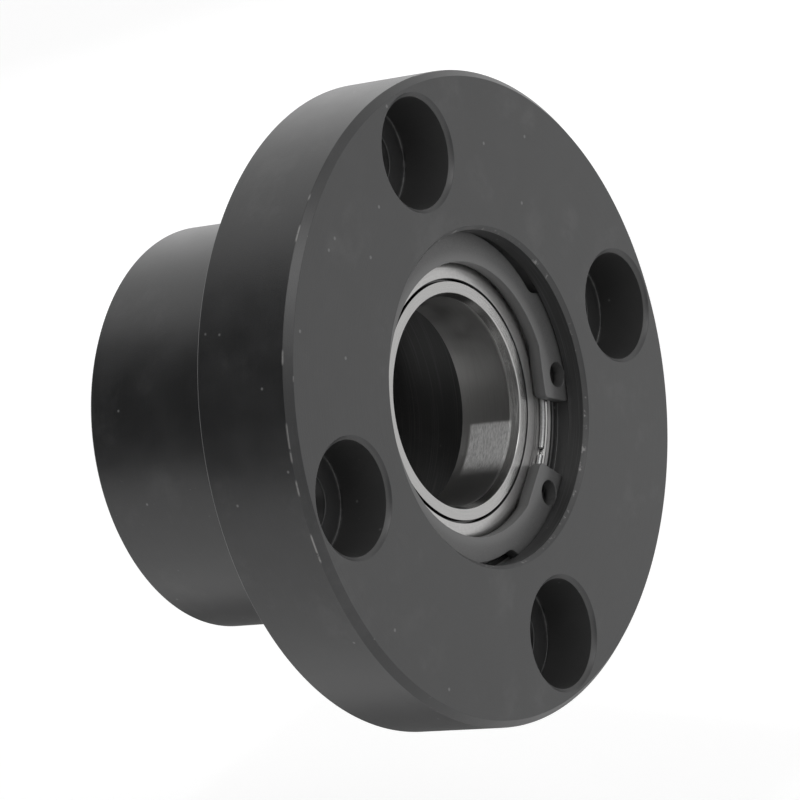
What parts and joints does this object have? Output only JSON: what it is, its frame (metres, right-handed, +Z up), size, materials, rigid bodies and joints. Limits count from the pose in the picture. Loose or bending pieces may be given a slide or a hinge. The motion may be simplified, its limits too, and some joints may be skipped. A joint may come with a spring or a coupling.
{
  "type": "flanged bearing housing",
  "caption": "Round flanged steel housing with a rear pilot, counterbored screw holes and shielded ball bearings kept by internal circlips at both ends.",
  "frame": {"origin": "centre of the flange's back face, where the bearing axis meets the face that seats on the machine", "axes": "+Y along the bearing axis from the flange to the pilot's end, +Z up, two screw holes on X and two on Z"},
  "size_m": [0.047, 0.025, 0.047],
  "materials": {
    "black_oxide_steel": "turned and black oxide coated, satin",
    "circlip_steel": "spring steel, phosphate blackened, satin",
    "bearing_steel": "ground and polished bearing steel",
    "ball_steel": "polished bearing steel",
    "shield_steel": "pressed bright sheet steel",
    "wire_steel": "drawn spring steel wire",
    "cage_steel": "pressed sheet steel"
  },
  "bodies": {
    "housing": {"housing": "black_oxide_steel", "front_circlip": "circlip_steel", "rear_circlip": "circlip_steel", "front_outer_ring": "bearing_steel", "front_front_shield": "shield_steel", "front_front_snap_wire": "wire_steel", "front_rear_shield": "shield_steel", "front_rear_snap_wire": "wire_steel", "rear_outer_ring": "bearing_steel", "rear_front_shield": "shield_steel", "rear_front_snap_wire": "wire_steel", "rear_rear_shield": "shield_steel", "rear_rear_snap_wire": "wire_steel"},
    "front_inner_race": {"front_inner_ring": "bearing_steel"},
    "front_ball_cage": {"front_balls": "ball_steel", "front_cage_front_half": "cage_steel", "front_cage_rear_half": "cage_steel", "front_cage_rivets": "cage_steel"},
    "rear_inner_race": {"rear_inner_ring": "bearing_steel"},
    "rear_ball_cage": {"rear_balls": "ball_steel", "rear_cage_front_half": "cage_steel", "rear_cage_rear_half": "cage_steel", "rear_cage_rivets": "cage_steel"}
  },
  "joints": [
    {"name": "front_inner_ring_spin", "type": "hinge", "parent": "housing", "child": "front_inner_race", "pos_m": [0, -0.0025, 0], "axis": [0, 1, 0], "continuous": true},
    {"name": "front_cage_spin", "type": "hinge", "parent": "housing", "child": "front_ball_cage", "pos_m": [0, -0.0025, 0], "axis": [0, 1, 0], "continuous": true},
    {"name": "rear_inner_ring_spin", "type": "hinge", "parent": "housing", "child": "rear_inner_race", "pos_m": [0, 0.0115, 0], "axis": [0, 1, 0], "continuous": true},
    {"name": "rear_cage_spin", "type": "hinge", "parent": "housing", "child": "rear_ball_cage", "pos_m": [0, 0.0115, 0], "axis": [0, 1, 0], "continuous": true}
  ],
  "couplings": [
    {"joint": "front_cage_spin", "follows": "front_inner_ring_spin", "ratio": 0.4389},
    {"joint": "rear_cage_spin", "follows": "rear_inner_ring_spin", "ratio": 0.4389}
  ]
}
